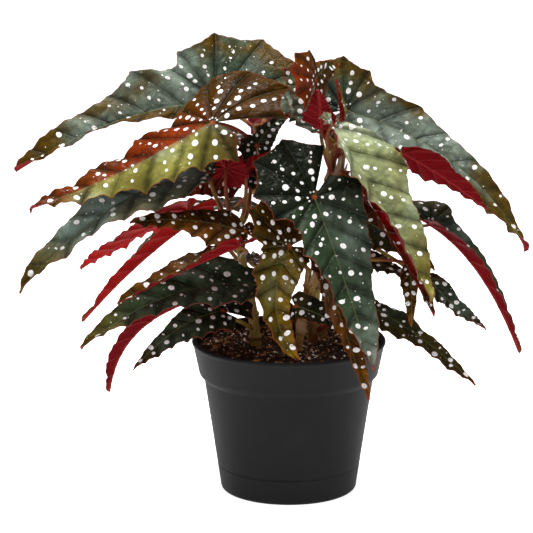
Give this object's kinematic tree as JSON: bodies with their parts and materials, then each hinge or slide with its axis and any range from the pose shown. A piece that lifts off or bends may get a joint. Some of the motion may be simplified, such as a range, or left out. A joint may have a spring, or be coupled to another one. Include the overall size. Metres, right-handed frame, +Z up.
{
  "type": "potted begonia plant",
  "caption": "Bushy polka dot begonia with angel-wing leaves, white dots and crimson undersides, in a matte charcoal nursery pot.",
  "frame": {"origin": "centre of the pot's flat underside, where it stands", "axes": "+Z up along the pot axis, -Y towards the side seen in the picture, +X to the right in the picture"},
  "size_m": [0.4433, 0.294, 0.3923],
  "materials": {
    "pot": "matte",
    "soil": "rough",
    "cane": "satin",
    "leaf_green": "satin",
    "leaf_olive": "satin",
    "leaf_bronze": "satin",
    "leaf_pale": "satin",
    "leaf_crimson": "satin"
  },
  "bodies": {
    "root": {"pot": "pot", "soil": "soil", "cane_left": "cane", "cane_right": "cane", "cane_front": "cane", "cane_back": "cane", "cane_side": "cane", "leaf_left_top": "leaf_green", "leaf_left_orange": "leaf_olive", "leaf_left_grey": "leaf_green", "leaf_left_brown": "leaf_bronze", "leaf_left_scarlet": "leaf_crimson", "leaf_left_folded": "leaf_crimson", "leaf_left_bronze": "leaf_bronze", "leaf_left_low": "leaf_green", "leaf_left_low_red": "leaf_crimson", "leaf_left_low_dark": "leaf_green", "leaf_mid_olive": "leaf_olive", "leaf_mid_green": "leaf_green", "leaf_mid_hanging": "leaf_bronze", "leaf_mid_low": "leaf_green", "leaf_mid_dark": "leaf_green", "leaf_mid_red": "leaf_crimson", "leaf_mid_tongue": "leaf_crimson", "leaf_mid_back": "leaf_green", "leaf_top_young": "leaf_bronze", "leaf_top_funnel": "leaf_crimson", "leaf_top_roll": "leaf_olive", "leaf_top_blue": "leaf_green", "leaf_right_top": "leaf_green", "leaf_right_pale": "leaf_pale", "leaf_right_red": "leaf_crimson", "leaf_right_folded": "leaf_green", "leaf_right_mid": "leaf_green", "leaf_right_low": "leaf_green", "leaf_right_bronze": "leaf_bronze", "leaf_right_behind": "leaf_crimson", "leaf_right_dark": "leaf_bronze", "leaf_right_dark_low": "leaf_green", "leaf_back_left_high": "leaf_green", "leaf_back_high": "leaf_green", "leaf_back_right_high": "leaf_green", "leaf_back_right_mid": "leaf_green", "leaf_back_left_mid": "leaf_green", "leaf_back_mid": "leaf_green", "leaf_back_left_low": "leaf_green", "leaf_left_crimson": "leaf_crimson"}
  },
  "joints": []
}
